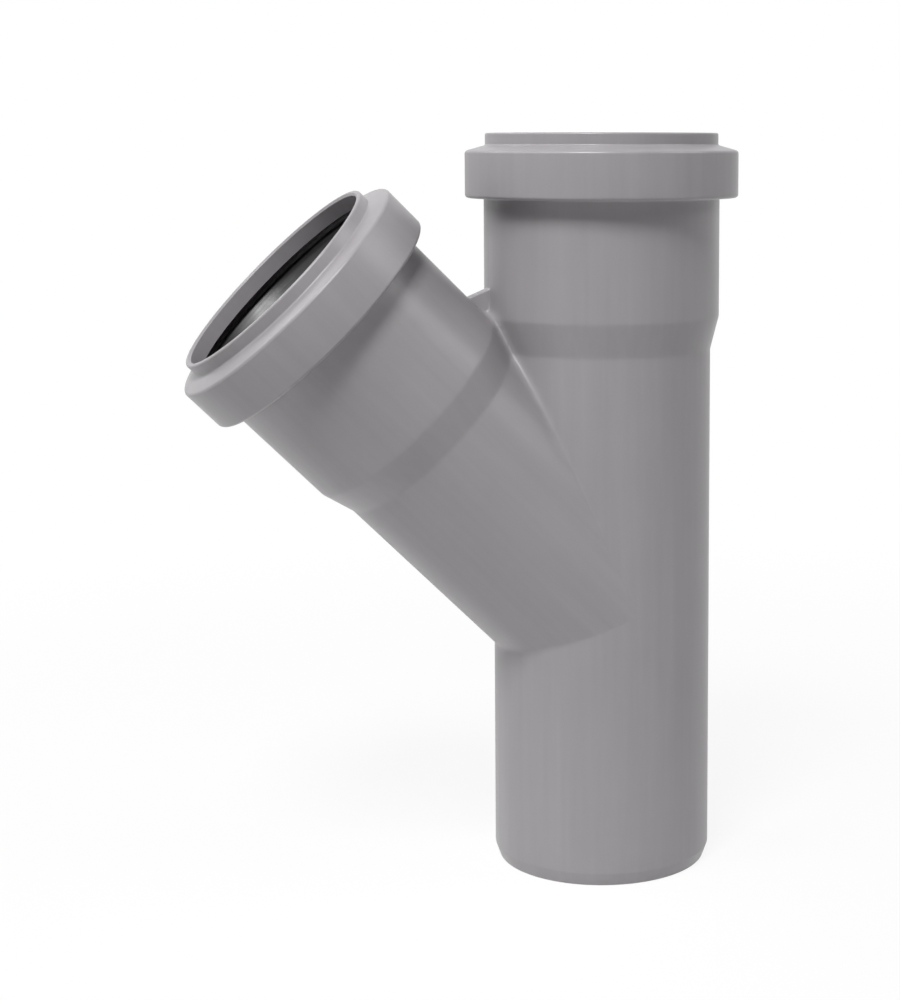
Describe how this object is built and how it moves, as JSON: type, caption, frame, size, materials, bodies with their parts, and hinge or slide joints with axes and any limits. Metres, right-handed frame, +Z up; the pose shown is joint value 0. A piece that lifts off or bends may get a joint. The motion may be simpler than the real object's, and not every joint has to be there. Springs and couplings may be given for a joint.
{
  "type": "lateral wye fitting",
  "caption": "Grey push-fit waste pipe branch: a run with a plain spigot below and a ring seal socket above, and the same socket on a branch that leans out at 45 degrees",
  "frame": {"origin": "where the axes of the run and the branch cross, in the middle of the run's bore", "axes": "+Z is up along the run towards its socket, the branch leans 45 degrees towards -X, +Y is square to both"},
  "size_m": [0.1259, 0.0624, 0.1685],
  "materials": {
    "grey_polypropylene": "satin moulded polypropylene",
    "seal_rubber": "matte black rubber"
  },
  "bodies": {
    "root": {"fitting_body": "grey_polypropylene", "run_seal_ring": "seal_rubber", "branch_seal_ring": "seal_rubber"}
  },
  "joints": []
}
